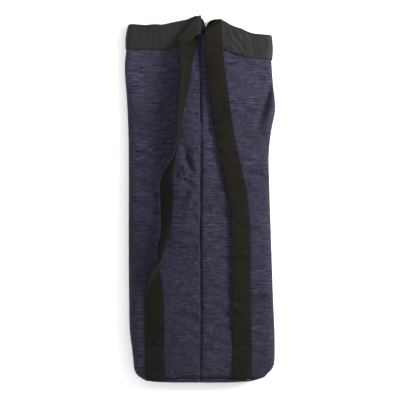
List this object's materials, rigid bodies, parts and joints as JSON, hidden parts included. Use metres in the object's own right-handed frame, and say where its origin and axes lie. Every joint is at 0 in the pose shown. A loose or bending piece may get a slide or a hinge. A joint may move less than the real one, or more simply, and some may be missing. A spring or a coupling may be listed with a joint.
{
  "type": "telescope carry case",
  "caption": "Padded drawstring tube case for a small telescope, lying empty on its back, with a base panel and two webbing shoulder straps that run into the mouth casing.",
  "frame": {"origin": "middle of the flat back panel, on the surface the case lies on", "axes": "+Y from the base panel to the mouth, +Z out of the front panel, +X to the right of someone who looks at the front with the mouth up"},
  "size_m": [0.294, 0.735, 0.0725],
  "materials": {
    "cover_cloth": "woven navy-grey cloth with a slubbed weft, matt",
    "casing_cloth": "plain brown-black nylon with a slight sheen",
    "webbing": "brown-black woven webbing, matt",
    "padding": "pale foam wadding, matt",
    "lining": "thin plain lining, slight sheen",
    "thread": "twisted sewing thread, matt"
  },
  "bodies": {
    "case": {"outer_cover": "cover_cloth", "base_cloth": "cover_cloth", "front_seam_lip": "cover_cloth", "padding_sleeve": "padding", "base_pad": "padding", "lining_tube": "lining", "base_lining": "lining", "casing_band": "casing_cloth", "casing_webbing": "webbing", "right_strap_anchor": "webbing", "left_strap_anchor": "webbing", "right_anchor_thread": "thread", "left_anchor_thread": "thread", "casing_thread": "thread", "front_seam_thread": "thread", "base_seam_thread": "thread"},
    "right_lower": {"right_strap_lower": "webbing"},
    "right_upper": {"right_strap_upper": "webbing"},
    "right_tail": {"right_strap_tail": "webbing"},
    "left_lower": {"left_strap_lower": "webbing"},
    "left_upper": {"left_strap_upper": "webbing"},
    "left_tail": {"left_strap_tail": "webbing"}
  },
  "joints": [
    {"name": "right_strap_lift", "type": "hinge", "parent": "case", "child": "right_lower", "pos_m": [0.0845, -0.29122, 0.05011], "axis": [0.9953, 0.097, -0.0034], "range_deg": [0, 12]},
    {"name": "right_strap_bend", "type": "hinge", "parent": "right_lower", "child": "right_upper", "pos_m": [0.0775, 0.01581, 0.03925], "axis": [0.9953, 0.097, -0.0034], "range_deg": [-24, 0]},
    {"name": "right_strap_slide", "type": "hinge", "parent": "right_upper", "child": "right_tail", "pos_m": [0.025, 0.3184, 0.02855], "axis": [0.9953, 0.097, -0.0034], "range_deg": [0, 12]},
    {"name": "left_strap_lift", "type": "hinge", "parent": "case", "child": "left_lower", "pos_m": [-0.0928, -0.29122, 0.05011], "axis": [0.9928, -0.1194, 0.0042], "range_deg": [0, 12]},
    {"name": "left_strap_bend", "type": "hinge", "parent": "left_lower", "child": "left_upper", "pos_m": [-0.066, 0.01478, 0.03929], "axis": [0.9928, -0.1194, 0.0042], "range_deg": [-24, 0]},
    {"name": "left_strap_slide", "type": "hinge", "parent": "left_upper", "child": "left_tail", "pos_m": [-0.0194, 0.3184, 0.02855], "axis": [0.9928, -0.1194, 0.0042], "range_deg": [0, 12]}
  ],
  "couplings": [
    {"joint": "right_strap_bend", "follows": "right_strap_lift", "ratio": -2},
    {"joint": "right_strap_slide", "follows": "right_strap_lift", "ratio": 1},
    {"joint": "left_strap_bend", "follows": "left_strap_lift", "ratio": -2},
    {"joint": "left_strap_slide", "follows": "left_strap_lift", "ratio": 1}
  ]
}
